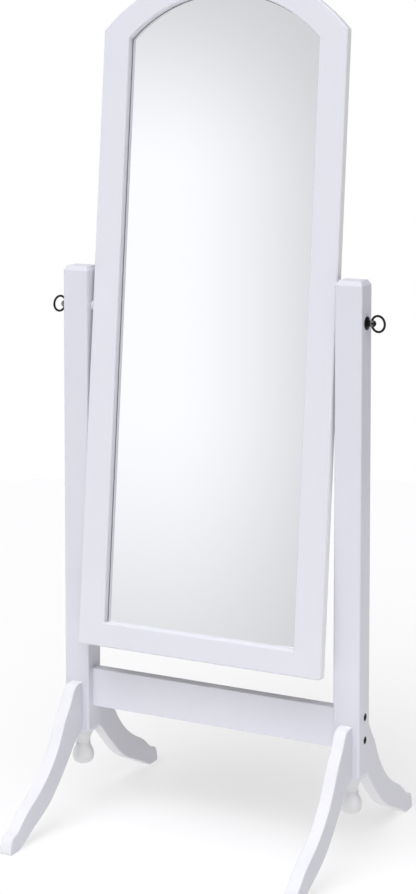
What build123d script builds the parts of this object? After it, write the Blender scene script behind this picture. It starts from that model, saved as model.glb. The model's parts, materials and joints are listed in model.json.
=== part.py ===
"""Cheval floor mirror: two posts on splayed legs, with an arched mirror that tilts between them.

Millimetres. Z is up and Z = 0 is the floor. X runs from post to post and -Y is the front.
The origin is on the floor, midway between the posts and in line with the pivot.
"""
from build123d import *
from math import cos, radians, sin
import os

os.makedirs("parts", exist_ok=True)

# ---------------------------------------------------------------- driving dimensions
# Posts
post_w = 48.0            # across, X
post_d = 43.0            # front to back, Y
post_gap = 468.0         # clear width between the two posts
post_top = 968.0
post_bottom = 138.0
post_edge_r = 3.5        # rounding of the long edges
post_bevel_h = 8.0       # bevel round each end, along the post
post_bevel_w = 4.5       # and across it

# Cross rail
rail_h = 68.0
rail_t = 20.0
rail_top = 254.0
rail_y = 3.0             # the rail's mid-plane, a little behind the middle of the posts
rail_edge_r = 1.5

# Legs
leg_t = 22.0
leg_top = 231.0
leg_foot = 143.0         # lowest point of the glued face
leg_head = 31.0          # how far the flat top reaches from the post's middle
leg_edge_r = 2.5

# Mirror frame, measured in its own plane from the pivot
pivot_z = 898.0
lean = 5.4               # degrees that the top leans back at rest
frame_w = 460.0
frame_t = 18.0
frame_low = 587.0        # pivot to lower edge
frame_shoulder = 480.5   # pivot to the corner where the arch begins
frame_apex = 584.0       # pivot to the top of the arch
sight_w = 360.0          # width of the opening
sight_low = 545.0
sight_shoulder = 465.5
sight_apex = 543.0
frame_corner_r = 6.0     # where the sides meet the arch
frame_foot_r = 5.0       # lower corners
frame_edge_r = 3.0       # front edges
frame_back_r = 2.0       # back edges
sight_edge_r = 2.5       # front edge of the opening
rabbet_w = 8.0
rabbet_t = 5.0
glass_t = 3.0
glass_gap = 1.0          # between the glass and the rabbet wall

# Pivot hardware
spacer_t = 3.8
spacer_r = 9.0
screw_r = 3.0            # M6 thumbscrew
screw_bore_r = 3.05      # running fit on the screw
screw_reach = 15.0       # length inside the frame
insert_r = 5.0
insert_len = 16.0
plate_r = 11.1           # escutcheon plate
plate_t = 2.6
knob_gap = 0.3           # between the knob and the plate
neck_r = 4.4
ball_r = 6.0
ball_x = 10.2            # centre of the ball, from the post's face
ring_half_h = 13.2       # oval ring: centreline across the screw
ring_half_w = 11.4       # and along the screw
ring_wire_r = 1.95
ring_x = 19.9            # centre of the ring, from the post's face
ring_turn = {"left": 13.0, "right": -4.0}    # degrees that the ring's top leans back at rest

# Joinery
bolt_r = 3.0             # M6 socket head bolt
bolt_hole_r = 3.3
bolt_head_r = 6.2
bolt_head_h = 6.0
bolt_socket = 5.0        # across the flats
bolt_socket_depth = 3.0
bolt_recess_r = 6.5
bolt_recess_depth = 6.2
bolt_reach = 34.0        # length inside the rail
bolt_drop = 12.0         # rail top to upper bolt
bolt_pitch = 39.0
nut_r = 5.0              # barrel nut
nut_len = 15.0
nut_inset = 26.0         # from the rail's end
dowel_r = 4.0
dowel_half = 16.0        # length on each side of a joint
dowel_play = 0.1         # extra radius of a dowel hole
dowel_end_gap = 1.0

# Finials
finial_low = 78.0
finial_collar_r = 17.0
finial_neck_r = 12.0
finial_bead_r = 1.5      # bead turned on the neck, just above the belly
finial_bead_z = 113.5
finial_belly_r = 19.0
finial_flat_r = 8.0
stud_r = 3.0
stud_half = 18.0

# Back of the mirror
clip_l = 30.0
clip_w = 13.0
clip_t = 1.2
clip_overlap = 12.0      # length that bears on the panel
clip_screw_r = 1.75
clip_head_r = 3.6
clip_head_h = 2.0
clip_screw_len = 11.0
clip_cross_l = 4.0       # cross recess in the screw's head
clip_cross_w = 0.9
clip_cross_depth = 1.1

# ---------------------------------------------------------------- derived places
sides = {"left": -1, "right": 1}
facings = {"front": -1, "back": 1}
post_x = (post_gap + post_w) / 2
post_face = post_gap / 2 + post_w            # outer face of a post, from the middle
rail_mid = rail_top - rail_h / 2
bolt_heights = [rail_top - bolt_drop, rail_top - bolt_drop - bolt_pitch]
rail_dowel_z = sum(bolt_heights) / 2
leg_dowel_heights = [168.0, 210.0]

# Plane of the mirror: local X across, local Y up the frame, local Z out of its front face
lean_up = (0, sin(radians(lean)), cos(radians(lean)))
lean_out = (0, -cos(radians(lean)), sin(radians(lean)))
mirror_plane = Plane(origin=(0, 0, pivot_z), x_dir=(1, 0, 0), z_dir=lean_out)
front_plane = mirror_plane.offset(frame_t / 2)
ledge_plane = mirror_plane.offset(rabbet_t - frame_t / 2)
back_plane = mirror_plane.offset(-frame_t / 2)
head_dowel_xs = [193.0, 217.0]
foot_dowel_ys = [-577.0, -555.0]


# ---------------------------------------------------------------- helpers
def save(builder, name):
    """Label a finished piece and write its STEP file."""
    builder.part.label = name
    export_step(builder.part, f"parts/{name}.step")


def at(x, y, z, direction):
    """A plane at a point, facing along a direction."""
    return Plane(origin=(x, y, z), z_dir=direction)


def arched_edges(half_w, low, shoulder, apex):
    """Edges of a rectangle that ends in a low arch; call inside BuildLine."""
    Polyline((-half_w, shoulder), (-half_w, -low), (half_w, -low), (half_w, shoulder))
    ThreePointArc((half_w, shoulder), (0, apex), (-half_w, shoulder))


def arch_radius(half_w, shoulder, apex):
    """Radius of the arch over a span."""
    rise = apex - shoulder
    return (half_w ** 2 + rise ** 2) / (2 * rise)


def sight_edges(grow):
    """Edges of the opening, moved outwards by a distance; call inside BuildLine."""
    half_w = sight_w / 2 + grow
    radius = arch_radius(sight_w / 2, sight_shoulder, sight_apex) + grow
    apex = sight_apex + grow
    shoulder = apex - radius + (radius ** 2 - half_w ** 2) ** 0.5
    arched_edges(half_w, sight_low + grow, shoulder, apex)


def local(shape_edges):
    """Pairs of an edge and its middle point in the mirror's plane."""
    return [(edge, mirror_plane.to_local_coords(edge @ 0.5)) for edge in shape_edges]


# ---------------------------------------------------------------- stand: posts
def make_post(name, side):
    """Square post, bevelled at both ends, bored for the pivot, the rail, the legs and the finial."""
    with BuildPart() as post:
        with BuildSketch(Plane.XY.offset(post_bottom)):
            with Locations((side * post_x, 0)):
                Rectangle(post_w, post_d)
        extrude(amount=post_top - post_bottom)
        for end in post.faces().filter_by(Axis.Z):
            chamfer(end.edges(), length=post_bevel_w, length2=post_bevel_h, reference=end)
        corners = [e for e in post.edges() if abs(e.tangent_at(0.5).Z) > 0.1]
        fillet(corners, radius=post_edge_r)
        # thumbscrew
        with Locations(at(side * post_face, 0, pivot_z, (side, 0, 0))):
            Hole(radius=screw_r + 0.5, depth=post_w)
        # rail bolts, sunk in from the outer face
        for height in bolt_heights:
            with Locations(at(side * post_face, rail_y, height, (side, 0, 0))):
                CounterBoreHole(bolt_hole_r, bolt_recess_r, bolt_recess_depth, depth=post_w)
        # rail dowel, blind from the inner face
        with Locations(at(side * post_gap / 2, rail_y, rail_dowel_z, (-side, 0, 0))):
            Hole(radius=dowel_r + dowel_play, depth=dowel_half + dowel_end_gap)
        # leg dowels
        for facing in facings.values():
            for height in leg_dowel_heights:
                with Locations(at(side * post_x, facing * post_d / 2, height, (0, facing, 0))):
                    Hole(radius=dowel_r + dowel_play, depth=dowel_half + dowel_end_gap)
        # finial stud
        with Locations(at(side * post_x, 0, post_bottom, (0, 0, -1))):
            Hole(radius=stud_r + dowel_play, depth=stud_half + dowel_end_gap)
    save(post, name)


for side_name, side in sides.items():
    make_post(f"post_{side_name}", side)

# ---------------------------------------------------------------- stand: cross rail
with BuildPart() as cross_rail:
    with BuildSketch(Plane.YZ.offset(-post_gap / 2)):
        with Locations((rail_y, rail_mid)):
            RectangleRounded(rail_t, rail_h, rail_edge_r)
    extrude(amount=post_gap)
    for side in sides.values():
        for height in bolt_heights:
            with Locations(at(side * post_gap / 2, rail_y, height, (side, 0, 0))):
                Hole(radius=bolt_hole_r, depth=bolt_reach + 2)
            nut_x = side * (post_gap / 2 - nut_inset)
            with Locations(at(nut_x, rail_y + rail_t / 2, height, (0, 1, 0))):
                Hole(radius=nut_r + dowel_play, depth=nut_len + dowel_end_gap)
        with Locations(at(side * post_gap / 2, rail_y, rail_dowel_z, (side, 0, 0))):
            Hole(radius=dowel_r + dowel_play, depth=dowel_half + dowel_end_gap)
save(cross_rail, "cross_rail")


# ---------------------------------------------------------------- stand: legs
def leg_edges(facing):
    """Edges of an S-curved leg seen from the side; call inside BuildLine.

    Distances run outwards from the post's middle, and heights from the floor.
    """
    back = post_d / 2
    toe = 256.0
    toe_r = 6.0
    upper = [(leg_head, leg_top), (57, 208.5), (78, 179), (94, 150), (114, 121.5), (140, 95.5),
             (174, 72.5), (210, 51.5), (236, 32), (toe, toe_r)]
    lower = [(232, 0), (217, 4.5), (201, 13), (171, 27.5), (133, 46.5), (103, 70), (77, 95.5),
             (54.5, 119.5), (back, leg_foot)]
    upper = [(facing * y, z) for y, z in upper]
    lower = [(facing * y, z) for y, z in lower]
    toe_in = toe_r * (1 - cos(radians(45)))
    Line((facing * back, leg_foot), (facing * back, leg_top))
    Line((facing * back, leg_top), upper[0])
    Spline(*upper, tangents=[(facing, 0), (facing * 0.15, -1)])
    ThreePointArc(upper[-1], (facing * (toe - toe_in), toe_in), (facing * (toe - toe_r), 0))
    Line((facing * (toe - toe_r), 0), lower[0])
    Spline(*lower, tangents=[(-facing, 0), (-facing, 0.55)])


def make_leg(name, side, facing):
    """Leg cut from board, its long edges rounded, bored for its two dowels."""
    with BuildPart() as leg:
        with BuildSketch(Plane.YZ.offset(side * post_x - leg_t / 2)):
            with BuildLine():
                leg_edges(facing)
            make_face()
        extrude(amount=leg_t)
        long_edges = leg.edges().filter_by(GeomType.LINE, reverse=True)
        top_edges = [
            edge for edge in leg.edges().filter_by(GeomType.LINE)
            if abs((edge @ 0.5).Z - leg_top) < 0.01 and abs((edge @ 0.5).Y) < leg_head
            and abs((edge @ 0.5).X - side * post_x) > 1
        ]
        fillet(long_edges + top_edges, radius=leg_edge_r)
        for height in leg_dowel_heights:
            with Locations(at(side * post_x, facing * post_d / 2, height, (0, -facing, 0))):
                Hole(radius=dowel_r + dowel_play, depth=dowel_half + dowel_end_gap)
    save(leg, name)


for facing_name, facing in facings.items():
    for side_name, side in sides.items():
        make_leg(f"leg_{facing_name}_{side_name}", side, facing)


# ---------------------------------------------------------------- stand: finials
def make_finial(name, side):
    """Turned drop under a post: collar, neck, bead and acorn."""
    centre = Plane(origin=(side * post_x, 0, 0), x_dir=(1, 0, 0), z_dir=(0, -1, 0))
    bead_top = finial_bead_z + finial_bead_r
    bead_foot = finial_bead_z - finial_bead_r
    with BuildPart() as finial:
        with BuildSketch(centre):
            with BuildLine():
                Line((0, finial_low), (0, post_bottom))
                Line((0, post_bottom), (finial_collar_r - 1, post_bottom))
                Polyline((finial_collar_r - 1, post_bottom), (finial_collar_r, post_bottom - 1),
                         (finial_collar_r, post_bottom - 4), (finial_collar_r - 1, post_bottom - 5))
                Spline((finial_collar_r - 1, post_bottom - 5), (finial_neck_r + 0.6, 123.5),
                       (finial_neck_r, 117), tangents=[(-0.3, -1), (0, -1)])
                Line((finial_neck_r, 117), (finial_neck_r, bead_top))
                ThreePointArc((finial_neck_r, bead_top),
                              (finial_neck_r + finial_bead_r, finial_bead_z),
                              (finial_neck_r, bead_foot))
                Spline((finial_neck_r, bead_foot), (15.6, 105), (finial_belly_r, 93), (16.2, 83),
                       (finial_flat_r, finial_low), tangents=[(0.45, -1), (-1, -0.12)])
                Line((finial_flat_r, finial_low), (0, finial_low))
            make_face()
        revolve(axis=Axis((side * post_x, 0, 0), (0, 0, 1)))
        with Locations(at(side * post_x, 0, post_bottom, (0, 0, 1))):
            Hole(radius=stud_r + dowel_play, depth=stud_half + dowel_end_gap)
    save(finial, name)


for side_name, side in sides.items():
    make_finial(f"finial_{side_name}", side)

with BuildPart() as finial_studs:
    for side in sides.values():
        with BuildSketch(Plane.XY.offset(post_bottom - stud_half)):
            with Locations((side * post_x, 0)):
                Circle(stud_r)
        extrude(amount=2 * stud_half)
    chamfer(finial_studs.edges(), length=1)
save(finial_studs, "finial_studs")

# ---------------------------------------------------------------- stand: joinery
head_seat = post_face - bolt_recess_depth      # underside of a bolt head, from the middle
bolt_tip = post_gap / 2 - bolt_reach

with BuildPart() as rail_bolts:
    for side in sides.values():
        for height in bolt_heights:
            with BuildSketch(at(side * head_seat, rail_y, height, (side, 0, 0))):
                Circle(bolt_head_r)
            extrude(amount=bolt_head_h)
            with BuildSketch(at(side * bolt_tip, rail_y, height, (side, 0, 0))):
                Circle(bolt_r)
            extrude(amount=head_seat - bolt_tip)
            with BuildSketch(at(side * (head_seat + bolt_head_h), rail_y, height, (side, 0, 0))):
                RegularPolygon(bolt_socket / 2, 6, major_radius=False)
            extrude(amount=-bolt_socket_depth, mode=Mode.SUBTRACT)
save(rail_bolts, "rail_bolts")

with BuildPart() as barrel_nuts:
    for side in sides.values():
        nut_x = side * (post_gap / 2 - nut_inset)
        for height in bolt_heights:
            with BuildSketch(at(nut_x, rail_y + rail_t / 2, height, (0, 1, 0))):
                Circle(nut_r)
            extrude(amount=-nut_len)
            # screwdriver slot that shows at the back of the rail
            with BuildSketch(at(nut_x, rail_y + rail_t / 2, height, (0, 1, 0))):
                Rectangle(2 * nut_r, 1.4)
            extrude(amount=-1.2, mode=Mode.SUBTRACT)
            with Locations(at(nut_x + side * nut_r, rail_y, height, (side, 0, 0))):
                Hole(radius=bolt_r + 0.05, depth=2 * nut_r)
save(barrel_nuts, "barrel_nuts")

with BuildPart() as rail_dowels:
    for side in sides.values():
        with BuildSketch(at(side * (post_gap / 2 - dowel_half), rail_y, rail_dowel_z, (side, 0, 0))):
            Circle(dowel_r)
        extrude(amount=2 * dowel_half)
    chamfer(rail_dowels.edges(), length=0.8)
save(rail_dowels, "rail_dowels")

for side_name, side in sides.items():
    with BuildPart() as leg_dowels:
        for facing in facings.values():
            start = facing * (post_d / 2 - dowel_half)
            for height in leg_dowel_heights:
                with BuildSketch(at(side * post_x, start, height, (0, facing, 0))):
                    Circle(dowel_r)
                extrude(amount=2 * dowel_half)
        chamfer(leg_dowels.edges(), length=0.8)
    save(leg_dowels, f"leg_dowels_{side_name}")


# ---------------------------------------------------------------- stand: escutcheon plates
def make_plate(name, side):
    """Domed round plate between a knob and its post."""
    axis = Axis((0, 0, pivot_z), (1, 0, 0))
    bore = screw_r + 0.4
    face = side * post_face
    with BuildPart() as plate:
        with BuildSketch(Plane.XY.offset(pivot_z)):
            with BuildLine():
                Polyline((face, bore), (face, plate_r), (face + side * 0.9, plate_r))
                Spline((face + side * 0.9, plate_r), (face + side * 1.9, plate_r - 2.2),
                       (face + side * plate_t, neck_r + 1.6), tangents=[(side, -0.3), (side * 0.05, -1)])
                Polyline((face + side * plate_t, neck_r + 1.6), (face + side * plate_t, bore), (face, bore))
            make_face()
        revolve(axis=axis)
    save(plate, name)


for side_name, side in sides.items():
    make_plate(f"escutcheon_{side_name}", side)


# ---------------------------------------------------------------- mirror frame
# Clips that hold the back panel: (x, y, angle) in the mirror's plane, at the edge of the rabbet.
# The angle turns a clip's length outwards, over the frame.
pocket_half = sight_w / 2 + rabbet_w
clip_rows = [-470.0, -235.0, 0.0, 235.0, 430.0]
clip_places = [(side * pocket_half, y, 0 if side > 0 else 180)
               for side in sides.values() for y in clip_rows]
clip_places += [(-90.0, -sight_low - rabbet_w, -90), (90.0, -sight_low - rabbet_w, -90)]
clip_places += [(0.0, sight_apex + rabbet_w, 90)]


def clip_screw_place(x, y, angle):
    """Where a clip's screw enters the back of the frame, with local Z towards the front."""
    return back_plane * Location((x, y, 0), (0, 0, angle)) * Location((clip_overlap, 0, 0))


with BuildPart() as pilot_cutter:
    for x, y, angle in clip_places:
        with Locations(clip_screw_place(x, y, angle)):
            Cylinder(clip_screw_r + dowel_play, clip_screw_len,
                     align=(Align.CENTER, Align.CENTER, Align.MIN))

with BuildPart() as opening_cutter:
    with BuildSketch(front_plane):
        with BuildLine():
            sight_edges(0)
        make_face()
    extrude(amount=-frame_t)
    with BuildSketch(back_plane):
        with BuildLine():
            sight_edges(rabbet_w)
        make_face()
    extrude(amount=rabbet_t)


half_frame_t = frame_t / 2
half_frame_w = frame_w / 2

# The frame is shaped as one blank, so that its rounded edges run on over the joints
with BuildPart() as frame_blank:
    with BuildSketch(front_plane):
        with BuildLine():
            arched_edges(half_frame_w, frame_low, frame_shoulder, frame_apex)
        make_face()
    extrude(amount=-frame_t)
    for corner_y, corner_r in ((frame_shoulder, frame_corner_r), (-frame_low, frame_foot_r)):
        fillet([edge for edge, p in local(frame_blank.edges())
                if abs(p.Z) < 0.01 and abs(p.Y - corner_y) < 0.01], radius=corner_r)
    outer_front = [edge for edge, p in local(frame_blank.edges()) if abs(p.Z - half_frame_t) < 0.01]
    fillet(outer_front, radius=frame_edge_r)
    outer_back = [edge for edge, p in local(frame_blank.edges()) if abs(p.Z + half_frame_t) < 0.01]
    fillet(outer_back, radius=frame_back_r)
    add([opening_cutter.part, pilot_cutter.part], mode=Mode.SUBTRACT)
    sight_front = [edge for edge, p in local(frame_blank.edges())
                   if abs(p.Z - half_frame_t) < 0.01
                   and abs(p.X) < sight_w / 2 + 0.01 and -sight_low - 0.01 < p.Y < sight_apex + 0.01]
    fillet(sight_front, radius=sight_edge_r)


def cut_from_blank(x_low, x_high, y_low, y_high):
    """The part of the blank inside a rectangle of the mirror's plane."""
    with BuildPart() as region:
        with BuildSketch(front_plane.offset(1)):
            with Locations(((x_low + x_high) / 2, (y_low + y_high) / 2)):
                Rectangle(x_high - x_low, y_high - y_low)
        extrude(amount=-frame_t - 2)
        add(frame_blank.part, mode=Mode.INTERSECT)
    return region.part


def make_stile(name, side):
    """Upright of the frame, with the insert's hole and its dowel holes."""
    inner, outer = sorted((side * sight_w / 2, side * (half_frame_w + 1)))
    with BuildPart() as stile:
        add(cut_from_blank(inner, outer, -frame_low - 1, sight_shoulder))
        # threaded insert, blind from the outer edge
        with Locations(at(side * half_frame_w, 0, pivot_z, (side, 0, 0))):
            Hole(radius=insert_r, depth=insert_len + 2)
        # dowels to the head
        for x in head_dowel_xs:
            with Locations(mirror_plane * Location((side * x, sight_shoulder, 0), (-90, 0, 0))):
                Hole(radius=dowel_r + dowel_play, depth=dowel_half + dowel_end_gap)
        # dowels to the lower rail
        for y in foot_dowel_ys:
            with Locations(mirror_plane * Location((side * sight_w / 2, y, 0), (0, -side * 90, 0))):
                Hole(radius=dowel_r + dowel_play, depth=dowel_half + dowel_end_gap)
    save(stile, name)


for side_name, side in sides.items():
    make_stile(f"frame_stile_{side_name}", side)

with BuildPart() as frame_lower_rail:
    add(cut_from_blank(-sight_w / 2, sight_w / 2, -frame_low - 1, 0))
    for side in sides.values():
        for y in foot_dowel_ys:
            with Locations(mirror_plane * Location((side * sight_w / 2, y, 0), (0, side * 90, 0))):
                Hole(radius=dowel_r + dowel_play, depth=dowel_half + dowel_end_gap)
save(frame_lower_rail, "frame_lower_rail")

with BuildPart() as frame_head:
    add(cut_from_blank(-half_frame_w - 1, half_frame_w + 1, sight_shoulder, frame_apex + 1))
    for side in sides.values():
        for x in head_dowel_xs:
            with Locations(mirror_plane * Location((side * x, sight_shoulder, 0), (90, 0, 0))):
                Hole(radius=dowel_r + dowel_play, depth=dowel_half + dowel_end_gap)
save(frame_head, "frame_head")

with BuildPart() as head_dowels:
    for side in sides.values():
        for x in head_dowel_xs:
            with Locations(mirror_plane * Location((side * x, sight_shoulder, 0), (90, 0, 0))):
                Cylinder(dowel_r, 2 * dowel_half)
    chamfer(head_dowels.edges().filter_by(GeomType.CIRCLE), length=0.8)
save(head_dowels, "frame_head_dowels")

with BuildPart() as foot_dowels:
    for side in sides.values():
        for y in foot_dowel_ys:
            with Locations(mirror_plane * Location((side * sight_w / 2, y, 0), (0, 90, 0))):
                Cylinder(dowel_r, 2 * dowel_half)
    chamfer(foot_dowels.edges().filter_by(GeomType.CIRCLE), length=0.8)
save(foot_dowels, "frame_foot_dowels")

# ---------------------------------------------------------------- glass and backing
with BuildPart() as mirror_glass:
    with BuildSketch(ledge_plane):
        with BuildLine():
            sight_edges(rabbet_w - glass_gap)
        make_face()
    extrude(amount=-glass_t)
save(mirror_glass, "mirror_glass")

with BuildPart() as back_panel:
    with BuildSketch(back_plane):
        with BuildLine():
            sight_edges(rabbet_w - glass_gap)
        make_face()
    extrude(amount=rabbet_t - glass_t)
save(back_panel, "back_panel")

clip_middle = clip_l / 2 - clip_overlap

with BuildPart() as panel_clips:
    for x, y, angle in clip_places:
        with BuildSketch(back_plane):
            with Locations(Location((x, y, 0), (0, 0, angle))):
                with Locations((clip_middle, 0)):
                    SlotOverall(clip_l, clip_w)
                with Locations((clip_overlap, 0)):
                    Circle(clip_screw_r + 0.2, mode=Mode.SUBTRACT)
        extrude(amount=-clip_t)
save(panel_clips, "panel_clips")

with BuildPart() as clip_screws:
    for x, y, angle in clip_places:
        with Locations(clip_screw_place(x, y, angle) * Location((0, 0, -clip_t))):
            Cylinder(clip_head_r, clip_head_h, align=(Align.CENTER, Align.CENTER, Align.MAX))
            Cylinder(clip_screw_r, clip_screw_len, align=(Align.CENTER, Align.CENTER, Align.MIN))
    rims = [edge for edge, p in local(clip_screws.edges().filter_by(GeomType.CIRCLE))
            if abs(p.Z + frame_t / 2 + clip_t + clip_head_h) < 0.01]
    fillet(rims, radius=1.2)
    for x, y, angle in clip_places:
        head_top = clip_screw_place(x, y, angle) * Location((0, 0, -clip_t - clip_head_h))
        with BuildSketch(Plane(head_top)):
            Rectangle(clip_cross_l, clip_cross_w)
            Rectangle(clip_cross_w, clip_cross_l)
        extrude(amount=clip_cross_depth, mode=Mode.SUBTRACT)
save(clip_screws, "clip_screws")

# ---------------------------------------------------------------- pivot hardware
for side_name, side in sides.items():
    with BuildPart() as insert:
        with BuildSketch(at(side * frame_w / 2, 0, pivot_z, (-side, 0, 0))):
            Circle(insert_r - 0.05)
            Circle(screw_bore_r, mode=Mode.SUBTRACT)
        extrude(amount=insert_len)
    save(insert, f"threaded_insert_{side_name}")

    with BuildPart() as spacer:
        with BuildSketch(at(side * frame_w / 2, 0, pivot_z, (side, 0, 0))):
            Circle(spacer_r)
            Circle(screw_bore_r + 0.15, mode=Mode.SUBTRACT)
        extrude(amount=spacer_t)
        chamfer(spacer.edges().filter_by(GeomType.CIRCLE).sort_by(SortBy.RADIUS)[-2:], length=0.5)
    save(spacer, f"pivot_spacer_{side_name}")

    knob_start = post_face + plate_t + knob_gap
    with BuildPart() as knob:
        with BuildSketch(at(side * knob_start, 0, pivot_z, (side, 0, 0))):
            Circle(neck_r)
        extrude(amount=post_face + ball_x - knob_start)
        with Locations((side * (post_face + ball_x), 0, pivot_z)):
            Sphere(ball_r)
        centre = Location((side * (post_face + ring_x), 0, pivot_z), (90 - ring_turn[side_name], 0, 0))
        with BuildLine(Plane(centre)) as ring_line:
            # the ring's ends meet inside the ball
            EllipticalCenterArc((0, 0), ring_half_w, ring_half_h,
                                start_angle=90 + 90 * side, arc_size=360)
        with BuildSketch(Plane(origin=ring_line.line @ 0, z_dir=ring_line.line % 0)):
            Circle(ring_wire_r)
        sweep(path=ring_line.line)
        with Locations(at(side * knob_start, 0, pivot_z, (-side, 0, 0))):
            Hole(radius=screw_r + 0.02, depth=ball_x - plate_t)
    save(knob, f"ring_knob_{side_name}")

    screw_start = frame_w / 2 - screw_reach
    with BuildPart() as screw:
        with BuildSketch(at(side * screw_start, 0, pivot_z, (side, 0, 0))):
            Circle(screw_r)
        extrude(amount=post_face + ball_x - 1 - screw_start)
        chamfer(screw.edges().filter_by(GeomType.CIRCLE), length=0.6)
    save(screw, f"thumbscrew_{side_name}")
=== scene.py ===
"""Cheval floor mirror: looks, detail pieces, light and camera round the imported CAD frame.

Metres, in the CAD's own frame: Z up, -Y the mirror's front, the origin on the floor.
"""
import json
import math

import bpy
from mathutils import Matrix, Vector


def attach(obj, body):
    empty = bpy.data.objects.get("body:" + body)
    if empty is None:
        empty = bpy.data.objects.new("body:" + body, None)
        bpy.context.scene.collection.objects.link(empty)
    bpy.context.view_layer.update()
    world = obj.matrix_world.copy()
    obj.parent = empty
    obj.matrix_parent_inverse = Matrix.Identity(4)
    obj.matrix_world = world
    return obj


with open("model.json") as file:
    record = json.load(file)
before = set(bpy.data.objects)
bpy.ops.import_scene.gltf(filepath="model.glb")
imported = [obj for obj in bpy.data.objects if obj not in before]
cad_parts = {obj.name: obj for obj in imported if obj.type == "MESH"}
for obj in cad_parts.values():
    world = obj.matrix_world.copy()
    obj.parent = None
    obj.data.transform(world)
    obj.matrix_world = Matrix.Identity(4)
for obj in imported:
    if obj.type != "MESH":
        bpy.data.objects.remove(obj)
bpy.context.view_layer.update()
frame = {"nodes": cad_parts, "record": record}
nodes = frame["nodes"]
record = frame["record"]

# ---------------------------------------------------------------- places, from the frame
tilt = next(j for j in record["behaviour"]["joints"] if j["name"] == "mirror_tilt")
pivot = Vector(tilt["pos_m"])
LEAN = math.radians(5.4)                 # the mirror's top leans back by this at rest
KNOB_BALL = Vector((0.2922, 0.0, pivot.z))     # middle of the right knob's ball

# The opening and the glass in the mirror's own plane, from the pivot
SIGHT_HALF_W = 0.180
SIGHT_LOW = -0.545
SIGHT_SHOULDER = 0.4655
SIGHT_APEX = 0.543
GLASS_FRONT = -0.004                     # behind the frame's mid-plane

# ---------------------------------------------------------------- camera, as in the photograph
IMAGE_H = 894
SENSOR = 36.0
FOCAL_PX = 1956.9                        # focal length in pixels
CAMERA_PLACE = Vector((1.496, -2.930, 1.321))
CAMERA_YAW = math.radians(27.18)         # to the right of the front
CAMERA_PITCH = math.radians(4.18)        # below the horizon
CAMERA_SHIFT = -0.27                     # as a part of the image's height

camera_data = bpy.data.cameras.new("camera")
camera_data.sensor_width = SENSOR
camera_data.lens = FOCAL_PX * SENSOR / IMAGE_H
camera_data.shift_y = CAMERA_SHIFT
camera = bpy.data.objects.new("camera", camera_data)
camera.location = CAMERA_PLACE
camera.rotation_euler = (math.pi / 2 - CAMERA_PITCH, 0, CAMERA_YAW)
bpy.context.collection.objects.link(camera)
bpy.context.scene.camera = camera
bpy.context.scene.view_settings.view_transform = "Standard"


# ---------------------------------------------------------------- node helpers
MIX_A, MIX_B, MIX_RESULT = 6, 7, 2       # the mix node's colour sockets


def add_node(tree, kind, inputs, settings):
    """Adds a node, sets its properties, then links or sets its inputs by name or index."""
    made = tree.nodes.new(kind)
    for key, value in settings.items():
        setattr(made, key, value)
    for key, value in dict(inputs).items():
        if isinstance(value, bpy.types.NodeSocket):
            tree.links.new(value, made.inputs[key])
        else:
            made.inputs[key].default_value = value
    return made


class Graph:
    """A small helper to build one Principled material from nodes."""

    def __init__(self, name, **values):
        self.material = bpy.data.materials.new(name)
        self.material.use_nodes = True
        self.tree = self.material.node_tree
        self.bsdf = self.tree.nodes["Principled BSDF"]
        for socket, value in values.items():
            self.bsdf.inputs[socket.replace("_", " ")].default_value = value
        texture_space = self.tree.nodes.new("ShaderNodeTexCoord")
        self.coords = texture_space.outputs["Object"]
        self.normals = texture_space.outputs["Normal"]

    def node(self, kind, inputs=(), **settings):
        """Adds a node to this material."""
        return add_node(self.tree, kind, inputs, settings)

    def math(self, operation, a, b=0.0):
        return self.node("ShaderNodeMath", {0: a, 1: b}, operation=operation).outputs[0]

    def sideways(self, vector):
        """How far a vector goes to the left or right."""
        across = self.node("ShaderNodeSeparateXYZ", {0: vector}).outputs[0]
        return self.math("ABSOLUTE", across)

    def scaled(self, stretch):
        """Object coordinates, stretched along each axis."""
        return self.node("ShaderNodeMapping", {"Vector": self.coords, "Scale": stretch}).outputs[0]

    def noise(self, scale, detail=3.0, rough=0.55, coords=None, distortion=0.0):
        return self.node("ShaderNodeTexNoise",
                         {"Vector": coords or self.coords, "Scale": scale, "Detail": detail,
                          "Roughness": rough, "Distortion": distortion}).outputs["Fac"]

    def remap(self, value, low, high, to_low=0.0, to_high=1.0):
        """Clamped linear map from low..high to to_low..to_high."""
        return self.node("ShaderNodeMapRange",
                         {"Value": value, "From Min": low, "From Max": high,
                          "To Min": to_low, "To Max": to_high}).outputs["Result"]

    def mix(self, factor, a, b):
        """Mixes two colours."""
        made = self.node("ShaderNodeMix", {"Factor": factor}, data_type="RGBA")
        for socket, value in ((made.inputs[MIX_A], a), (made.inputs[MIX_B], b)):
            if isinstance(value, bpy.types.NodeSocket):
                self.tree.links.new(value, socket)
            else:
                socket.default_value = (*value, 1.0)
        return made.outputs[MIX_RESULT]

    def bump(self, height, strength, distance, normal=None):
        inputs = {"Height": height, "Strength": strength, "Distance": distance}
        if normal:
            inputs["Normal"] = normal
        return self.node("ShaderNodeBump", inputs).outputs["Normal"]

    def edge_wear(self, radius, low=0.02, high=0.25):
        """1 on sharp or rounded edges, 0 on flats: how far a bevelled normal turns away."""
        bevel = self.node("ShaderNodeBevel", {"Radius": radius}, samples=4).outputs[0]
        normal = self.node("ShaderNodeNewGeometry").outputs["Normal"]
        dot = self.node("ShaderNodeVectorMath", {0: bevel, 1: normal},
                        operation="DOT_PRODUCT").outputs["Value"]
        return self.remap(self.math("SUBTRACT", 1.0, dot), low, high)

    def output(self, colour=None, roughness=None, normal=None):
        for socket, value in (("Base Color", colour), ("Roughness", roughness), ("Normal", normal)):
            if value is not None:
                self.tree.links.new(value, self.bsdf.inputs[socket])
        return self.material


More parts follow.
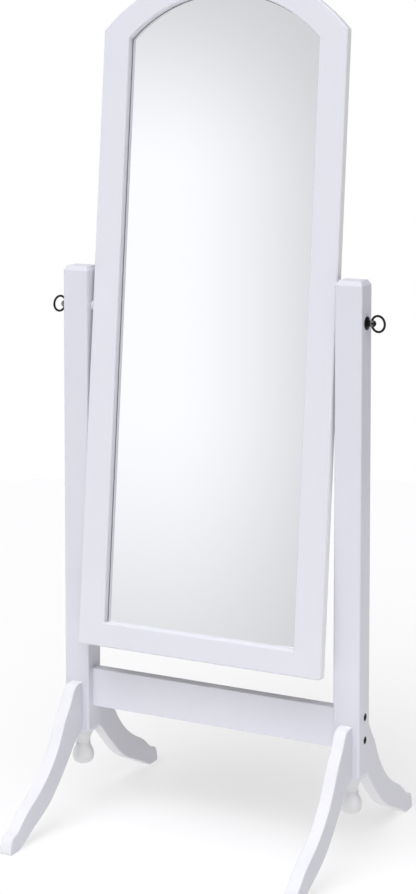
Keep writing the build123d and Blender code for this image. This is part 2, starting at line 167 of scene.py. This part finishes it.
# ---------------------------------------------------------------- materials
PAINT = (0.795, 0.795, 0.85)
PAINT_COOL = (0.765, 0.77, 0.83)
PAINT_WORN = (0.74, 0.735, 0.75)
PAINT_SPECK = (0.60, 0.59, 0.58)
# Painted light and shade: faces that look left or right can take their own lighter or darker
# colour, picked out by these two ranges.
PAINTED_SIDE_FACING = (0.70, 0.95)      # the sideways part of a side face's normal
PAINTED_SIDE_PLACE = (0.190, 0.215)     # side faces start between these distances from the middle
DRAWN_OUT = 0.06                # scale of the grain's pattern along the timber
GRAIN_ACROSS = (DRAWN_OUT, 1.0, 1.0)
GRAIN_UP = (1.0, 1.0, DRAWN_OUT)
GRAIN_LEG = (1.0, 0.25, 0.25)   # sawn legs: shorter grain, in the leg's plane


def painted(name, grain, paint=PAINT, cool=PAINT_COOL, painted_side_colour=None):
    """Satin white lacquer over wood; grain is the direction the timber runs in, as a stretch.

    The last argument is a lighter or darker colour for the faces that look left or right: painted
    light or shade for how light falls on them, not a different paint.
    """
    g = Graph(name, IOR=1.47)
    grain_coords = g.scaled(grain)
    fine_grain = g.noise(900.0, 4.0, 0.6, grain_coords, 0.15)
    broad_grain = g.noise(210.0, 3.0, 0.55, grain_coords, 0.4)
    peel = g.noise(620.0, 2.0, 0.5)
    clouds = g.noise(5.5, 3.0, 0.5)
    wear = g.edge_wear(0.0022)
    speck = g.remap(g.noise(260.0, 2.0, 0.7), 0.70, 0.78)
    base = g.mix(g.remap(clouds, 0.35, 0.65, 0.0, 0.55), paint, cool)
    # painted light or shade: the faces that look left or right take their own colour
    if painted_side_colour:
        painted_side_mask = g.math("MULTIPLY", g.remap(g.sideways(g.normals), *PAINTED_SIDE_FACING),
                       g.remap(g.sideways(g.coords), *PAINTED_SIDE_PLACE))
        base = g.mix(painted_side_mask, base, painted_side_colour)
    base = g.mix(g.remap(fine_grain, 0.45, 0.75, 0.0, 0.10), base, PAINT_WORN)
    worn = g.math("MULTIPLY", wear, g.remap(g.noise(70.0, 4.0, 0.6), 0.5, 0.75, 0.0, 0.14))
    base = g.mix(worn, base, PAINT_WORN)
    base = g.mix(g.math("MULTIPLY", speck, 0.10), base, PAINT_SPECK)
    rough = g.math("ADD", g.remap(clouds, 0.3, 0.7, 0.30, 0.38),
                   g.remap(fine_grain, 0.3, 0.7, -0.03, 0.05))
    rough = g.math("ADD", rough, g.math("MULTIPLY", worn, 0.12))
    normal = g.bump(broad_grain, 0.10, 0.0012)
    normal = g.bump(fine_grain, 0.16, 0.0005, normal)
    normal = g.bump(peel, 0.10, 0.0004, normal)
    return g.output(base, rough, normal)


# Painted light: the frame's faces that look left or right get a paler paint, standing in for light
# reaching them.
FRAME_SIDE_PAINTED_LIGHT = (0.92, 0.915, 0.92)
paint_across = painted("white_paint_grain_across", GRAIN_ACROSS)
# Painted light: the cross rail gets a paler copy of the white paint.
paint_rail_lit = painted("white_paint_rail_painted_light", GRAIN_ACROSS,
                     (0.85, 0.85, 0.915), (0.82, 0.825, 0.895))
# Painted light and shade: the legs get a paler copy of the paint, and a darker one on their faces
# that look left or right.
paint_leg_lit_and_shaded = painted("white_paint_leg_painted_light_and_shade", GRAIN_LEG,
                    (0.845, 0.845, 0.865), (0.82, 0.825, 0.85), painted_side_colour=(0.755, 0.755, 0.81))
# Painted light: the finials get a paler, more neutral copy of the white paint.
paint_turned_lit = painted("white_paint_turned_painted_light", GRAIN_UP,
                       (0.825, 0.825, 0.83), (0.79, 0.79, 0.795))
# Painted shade: the posts get a darker copy of the white paint.
paint_post_shaded = painted("white_paint_post_painted_shade", GRAIN_UP,
                     (0.77, 0.77, 0.835), (0.74, 0.745, 0.815))
# The frame's stiles and head carry that painted light on their faces that look left or right.
paint_frame_side_lit = painted("white_paint_frame_painted_side_light", GRAIN_UP, painted_side_colour=FRAME_SIDE_PAINTED_LIGHT)
paint_head_side_lit = painted("white_paint_head_painted_side_light", GRAIN_ACROSS, painted_side_colour=FRAME_SIDE_PAINTED_LIGHT)


def mirror_glass():
    """Silvered glass with a faint haze of wiped smudges."""
    g = Graph("silvered_glass", Metallic=1.0)
    smudge = g.remap(g.noise(9.0, 4.0, 0.6, g.scaled((1.0, 1.0, 0.35)), 0.8), 0.5, 0.75)
    dust = g.remap(g.noise(900.0, 2.0, 0.5), 0.72, 0.80)
    colour = g.mix(g.math("MULTIPLY", dust, 0.05), (0.955, 0.96, 0.965), (0.80, 0.80, 0.80))
    rough = g.math("ADD", g.math("MULTIPLY", smudge, 0.022), g.math("MULTIPLY", dust, 0.08))
    return g.output(colour, g.math("ADD", rough, 0.004))


def hardboard():
    """Brown pressed fibreboard with a screen print on its rough side."""
    g = Graph("hardboard", IOR=1.4)
    fibre = g.noise(420.0, 6.0, 0.7, g.scaled((1.0, 1.0, 0.7)), 1.2)
    blotch = g.noise(14.0, 4.0, 0.6)
    flecks = g.remap(g.noise(700.0, 3.0, 0.7), 0.62, 0.72)
    colour = g.mix(g.remap(blotch, 0.3, 0.7), (0.235, 0.125, 0.062), (0.30, 0.17, 0.09))
    colour = g.mix(g.remap(fibre, 0.35, 0.7, 0.0, 0.6), colour, (0.40, 0.25, 0.14))
    colour = g.mix(g.math("MULTIPLY", flecks, 0.5), colour, (0.12, 0.06, 0.03))
    threads = [g.node("ShaderNodeTexWave", {"Vector": g.coords, "Scale": 260.0, "Distortion": 0.6,
                                            "Detail": 1.0, "Detail Scale": 2.0},
                      bands_direction=axis).outputs["Fac"] for axis in "XZ"]
    screen = g.math("MULTIPLY", *threads)
    normal = g.bump(screen, 0.35, 0.0004)
    normal = g.bump(fibre, 0.35, 0.0006, normal)
    return g.output(colour, g.remap(fibre, 0.3, 0.7, 0.62, 0.85), normal)


BALL_BRIGHT_REACH = (0.0066, 0.0058)        # the balls are brightened inside this distance: handling wear and a painted highlight
BALL_LIT_HALF = (0.2962, 0.2935)       # and only on their inner half, at this distance from the middle, where the painted highlight falls


def dark_bronze():
    """Blackened bronze, rubbed a little brighter on its edges; the balls get a bright patch of
    handling wear and painted highlight.
    """
    g = Graph("dark_bronze", Metallic=0.85)
    mottle = g.noise(420.0, 4.0, 0.6)
    wear = g.edge_wear(0.0009, 0.04, 0.4)
    colour = g.mix(g.remap(mottle, 0.35, 0.7), (0.014, 0.013, 0.017), (0.034, 0.030, 0.030))
    rub = g.math("MULTIPLY", wear, g.remap(g.noise(650.0, 3.0, 0.6), 0.40, 0.65))
    colour = g.mix(g.math("MULTIPLY", rub, 0.5), colour, (0.20, 0.155, 0.115))
    place = g.node("ShaderNodeSeparateXYZ", {0: g.coords}).outputs
    across = g.math("ABSOLUTE", place[0])
    from_side = g.node("ShaderNodeCombineXYZ",
                       {0: across, 1: place[1], 2: place[2]}).outputs[0]
    reach = g.node("ShaderNodeVectorMath", {0: from_side, 1: KNOB_BALL},
                   operation="DISTANCE").outputs["Value"]
    # Handling wear and a painted highlight: a bright patch on each ball's inner half.
    worn_and_highlight = g.math("MULTIPLY", g.remap(reach, *BALL_BRIGHT_REACH),
                     g.remap(g.noise(230.0, 3.0, 0.6, distortion=0.6), 0.46, 0.56))
    worn_and_highlight = g.math("MULTIPLY", worn_and_highlight, g.remap(across, *BALL_LIT_HALF))
    colour = g.mix(g.math("MULTIPLY", worn_and_highlight, 0.85), colour, (0.60, 0.56, 0.53))
    rough = g.math("SUBTRACT", g.remap(mottle, 0.3, 0.7, 0.30, 0.46), g.math("MULTIPLY", rub, 0.08))
    return g.output(colour, rough, g.bump(g.noise(900.0, 3.0, 0.55), 0.18, 0.00025))


def black_steel():
    """Black oxide with oily variation."""
    g = Graph("black_steel", Specular_IOR_Level=0.12)
    mottle = g.noise(700.0, 4.0, 0.65)
    colour = g.mix(mottle, (0.004, 0.004, 0.006), (0.012, 0.012, 0.016))
    return g.output(colour, g.remap(mottle, 0.3, 0.7, 0.34, 0.52), g.bump(mottle, 0.15, 0.0002))


def zinc_steel():
    """Bright zinc plating with its faint spangle and fine scratches."""
    g = Graph("zinc_steel", Metallic=1.0)
    spangle = g.node("ShaderNodeTexVoronoi", {"Vector": g.coords, "Scale": 380.0}).outputs["Color"]
    tone = g.node("ShaderNodeSeparateColor", {"Color": spangle}).outputs[0]
    scratch = g.noise(1500.0, 3.0, 0.7, g.scaled((1.0, 0.3, 0.05)))
    colour = g.mix(tone, (0.52, 0.53, 0.56), (0.66, 0.67, 0.68))
    rough = g.math("ADD", g.remap(tone, 0.0, 1.0, 0.26, 0.38),
                   g.remap(scratch, 0.4, 0.7, -0.04, 0.10))
    return g.output(colour, rough, g.bump(scratch, 0.12, 0.0002))


def beech():
    """Bare beech with short darker flecks."""
    g = Graph("beech", IOR=1.45)
    grain = g.noise(520.0, 4.0, 0.6, g.scaled((0.12, 1.0, 1.0)), 0.4)
    fleck = g.remap(g.noise(1300.0, 2.0, 0.6, g.scaled((0.2, 1.0, 1.0))), 0.6, 0.7)
    colour = g.mix(grain, (0.58, 0.38, 0.21), (0.70, 0.50, 0.31))
    colour = g.mix(g.math("MULTIPLY", fleck, 0.4), colour, (0.36, 0.2, 0.1))
    return g.output(colour, g.remap(grain, 0.3, 0.7, 0.5, 0.66), g.bump(grain, 0.2, 0.0004))


def brass():
    """Machined brass with turning marks."""
    g = Graph("brass", Metallic=1.0)
    turning = g.noise(2600.0, 2.0, 0.6, g.scaled((1.0, 0.05, 0.05)))
    stain = g.noise(300.0, 4.0, 0.6)
    colour = g.mix(stain, (0.60, 0.42, 0.16), (0.76, 0.58, 0.27))
    return g.output(colour, g.remap(stain, 0.3, 0.7, 0.24, 0.4), g.bump(turning, 0.2, 0.0002))


def nylon():
    """Milky white moulded nylon."""
    g = Graph("white_nylon", IOR=1.5)
    flow = g.noise(180.0, 4.0, 0.6)
    colour = g.mix(flow, (0.74, 0.74, 0.75), (0.82, 0.82, 0.82))
    return g.output(colour, g.remap(flow, 0.3, 0.7, 0.42, 0.55),
                    g.bump(g.noise(1400.0, 2.0), 0.2, 0.0002))


finishes = {
    "beech": beech(),
    "silvered_glass": mirror_glass(),
    "hardboard": hardboard(),
    "dark_bronze": dark_bronze(),
    "black_steel": black_steel(),
    "zinc_steel": zinc_steel(),
    "brass": brass(),
    "white_nylon": nylon(),
}
paint_of = {"cross_rail": paint_rail_lit, "frame_lower_rail": paint_across, "frame_head": paint_head_side_lit,
            "frame_stile_left": paint_frame_side_lit, "frame_stile_right": paint_frame_side_lit,
            "post_left": paint_post_shaded, "post_right": paint_post_shaded,
            "finial_left": paint_turned_lit, "finial_right": paint_turned_lit}       # the rest are legs


def dress(node_name, material):
    """Puts one material on every slot of a CAD node."""
    mesh = nodes[node_name].data
    if not mesh.materials:
        mesh.materials.append(material)
    for index in range(len(mesh.materials)):
        mesh.materials[index] = material


for entry in record["subparts"]:
    name, slot = entry["node"], entry["material_slot"]
    if slot == "painted_wood":
        dress(name, paint_of.get(name, paint_leg_lit_and_shaded))
    else:
        dress(name, finishes[slot])

# ---------------------------------------------------------------- painted shade: a dark band on the glass at the opening's edge
SHADE_BAND_W = 0.0016
SHADE_BAND_T = 0.0002        # how far it stands in front of the glass
ARCH_STEPS = 72
# Painted shade: a dark band stands in for the shadowed gap where the glass meets the frame's
# reveal.
shade_band_paint = Graph("painted_shade_band_black", Roughness=0.5)
shade_band_paint.output(shade_band_paint.mix(shade_band_paint.noise(160.0, 4.0, 0.6),
                                 (0.17, 0.17, 0.18), (0.24, 0.24, 0.25)),
                  shade_band_paint.remap(shade_band_paint.noise(300.0, 3.0), 0.3, 0.7, 0.4, 0.6),
                  shade_band_paint.bump(shade_band_paint.noise(500.0, 3.0), 0.2, 0.0002))


def in_mirror(across, up, out):
    """A point given in the mirror's own plane, in the frame."""
    return pivot + Vector((across,
                           up * math.sin(LEAN) - out * math.cos(LEAN),
                           up * math.cos(LEAN) + out * math.sin(LEAN)))


def opening_outline(inset):
    """Points round the opening, moved inwards: up one side, over the arch and down the other."""
    half_w = SIGHT_HALF_W - inset
    rise = SIGHT_APEX - SIGHT_SHOULDER
    radius = (SIGHT_HALF_W ** 2 + rise ** 2) / (2 * rise) - inset
    centre = SIGHT_APEX - inset - radius
    spread = math.asin(half_w / radius)
    points = [(half_w, SIGHT_LOW)]
    for k in range(ARCH_STEPS + 1):
        angle = spread * (1 - 2 * k / ARCH_STEPS)
        points.append((radius * math.sin(angle), centre + radius * math.cos(angle)))
    return points + [(-half_w, SIGHT_LOW)]


def edge_line():
    """A thin dark band of painted shade on the glass, up both edges and over the arch of the
    opening.
    """
    corners = ((0.0, 0.0), (0.0, SHADE_BAND_T), (SHADE_BAND_W, SHADE_BAND_T), (SHADE_BAND_W, 0.0))
    strands = [[in_mirror(x, y, GLASS_FRONT + lift) for x, y in opening_outline(inset)]
               for inset, lift in corners]
    count = len(strands[0])
    faces = [(a * count + k, b * count + k, b * count + k + 1, a * count + k + 1)
             for a, b in ((0, 1), (1, 2), (2, 3), (3, 0)) for k in range(count - 1)]
    faces += [[strand * count for strand in (3, 2, 1, 0)],
              [strand * count + count - 1 for strand in (0, 1, 2, 3)]]
    mesh = bpy.data.meshes.new("glass_painted_shade_band")
    mesh.from_pydata([point for strand in strands for point in strand], [], faces)
    mesh.materials.append(shade_band_paint.material)
    band = bpy.data.objects.new("glass_painted_shade_band", mesh)
    bpy.context.collection.objects.link(band)
    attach(band, "mirror")


edge_line()

# ---------------------------------------------------------------- stage: floor and light
FLOOR_RADIUS = 2.9          # the mirror's lower edge looks just past it
FLOOR_SIDES = 128
FLOOR_Z = -0.0005           # just under the feet
FLOOR_GLOW = 0.58           # keeps the floor near white in the object's shadow
floor_mesh = bpy.data.meshes.new("floor")
rim = [(FLOOR_RADIUS * math.cos(2 * math.pi * k / FLOOR_SIDES),
        FLOOR_RADIUS * math.sin(2 * math.pi * k / FLOOR_SIDES), 0) for k in range(FLOOR_SIDES)]
floor_mesh.from_pydata(rim, [], [list(range(FLOOR_SIDES))])
floor = bpy.data.objects.new("floor", floor_mesh)
floor.location.z = FLOOR_Z
bpy.context.collection.objects.link(floor)
floor_paint = Graph("floor_paint", Roughness=0.9, Specular_IOR_Level=0.0,
                    Emission_Color=(1.0, 1.0, 1.0, 1.0), Emission_Strength=FLOOR_GLOW)
floor_paint.output(floor_paint.mix(floor_paint.noise(1.3, 3.0),
                                   (0.42, 0.42, 0.42), (0.44, 0.44, 0.44)))
floor_mesh.materials.append(floor_paint.material)

# World: the camera sees plain white. Glossy surfaces see a grey room with a wide softbox on
# the left and a dark card behind on the right. Diffuse surfaces get soft light from high in
# front, from the right and from the floor around.
GLOSSY_ROOM = 0.65          # strength of the grey room in reflections
SOFTBOX_GAIN = 0.385        # what the softbox adds to it
CARD_LOSS = 0.50            # and what the dark card takes away
GLOSSY_TINT = (0.985, 0.99, 1.015, 1.0)
DIFFUSE_TINT = (0.98, 0.98, 1.01, 1.0)
WHITE = (1.0, 1.0, 1.0, 1.0)
world = bpy.data.worlds.new("studio")
bpy.context.scene.world = world
world.use_nodes = True
world.node_tree.nodes.clear()


def sky(kind, inputs=(), **settings):
    """Adds a node to the world."""
    return add_node(world.node_tree, kind, inputs, settings)


def sky_math(operation, a, b):
    return sky("ShaderNodeMath", {0: a, 1: b}, operation=operation).outputs[0]


direction = sky("ShaderNodeTexCoord").outputs["Generated"]


def towards(axis):
    """Cosine of the angle between the direction and an axis."""
    return sky("ShaderNodeVectorMath", {0: direction, 1: Vector(axis).normalized()},
               operation="DOT_PRODUCT").outputs["Value"]


def step(value, low, high):
    """Smooth rise from 0 to 1 between two values."""
    return sky("ShaderNodeMapRange", {"Value": value, "From Min": low, "From Max": high},
               interpolation_type="SMOOTHSTEP").outputs["Result"]


def lobe(axis, power, amount):
    """A broad light round an axis: the cosine to a power."""
    cosine = sky_math("MAXIMUM", towards(axis), 0.0)
    return sky_math("MULTIPLY", sky_math("POWER", cosine, power), amount)


def aim(azimuth, elevation):
    """Direction to a light, its azimuth counted from the front towards the right, in degrees."""
    turn, rise = math.radians(azimuth), math.radians(elevation)
    return (math.sin(turn) * math.cos(rise), -math.cos(turn) * math.cos(rise), math.sin(rise))


def total(parts):
    result = parts[0]
    for part in parts[1:]:
        result = sky_math("ADD", result, part)
    return result


height = towards((0, 0, 1))
softbox = sky_math("MULTIPLY", step(towards((-1, 0, -0.06)), 0.36, 0.47),
                   sky_math("MULTIPLY", step(height, 0.235, 0.105), step(height, -0.215, 0.0)))
dark_card = step(towards((0.45, 0.89, 0)), 0.70, 0.96)
glossy_level = sky_math("SUBTRACT",
                        sky_math("ADD", sky_math("MULTIPLY", softbox, SOFTBOX_GAIN), GLOSSY_ROOM),
                        sky_math("MULTIPLY", dark_card, CARD_LOSS))
diffuse_level = total([
    lobe(aim(0, 65), 12, 5.4),                # large box, high in front
    lobe(aim(0, 45), 10, 1.1),                # a weaker one below it
    lobe(aim(45, 45), 10, 0.3),               # fill from the front right
    lobe(aim(90, 45), 10, 0.75),              # and from the right
    step(height, 0.0, -0.1),                  # the floor goes on beyond its edge
])
rays = sky("ShaderNodeLightPath")
glossy_light = sky("ShaderNodeBackground", {"Color": GLOSSY_TINT, "Strength": glossy_level})
diffuse_light = sky("ShaderNodeBackground", {"Color": DIFFUSE_TINT, "Strength": diffuse_level})
plain_white = sky("ShaderNodeBackground", {"Color": WHITE, "Strength": 1.0})
lit = sky("ShaderNodeMixShader", {0: rays.outputs["Is Glossy Ray"], 1: diffuse_light.outputs[0],
                                  2: glossy_light.outputs[0]})
seen = sky("ShaderNodeMixShader", {0: rays.outputs["Is Camera Ray"], 1: lit.outputs[0],
                                   2: plain_white.outputs[0]})
sky("ShaderNodeOutputWorld", {"Surface": seen.outputs[0]})
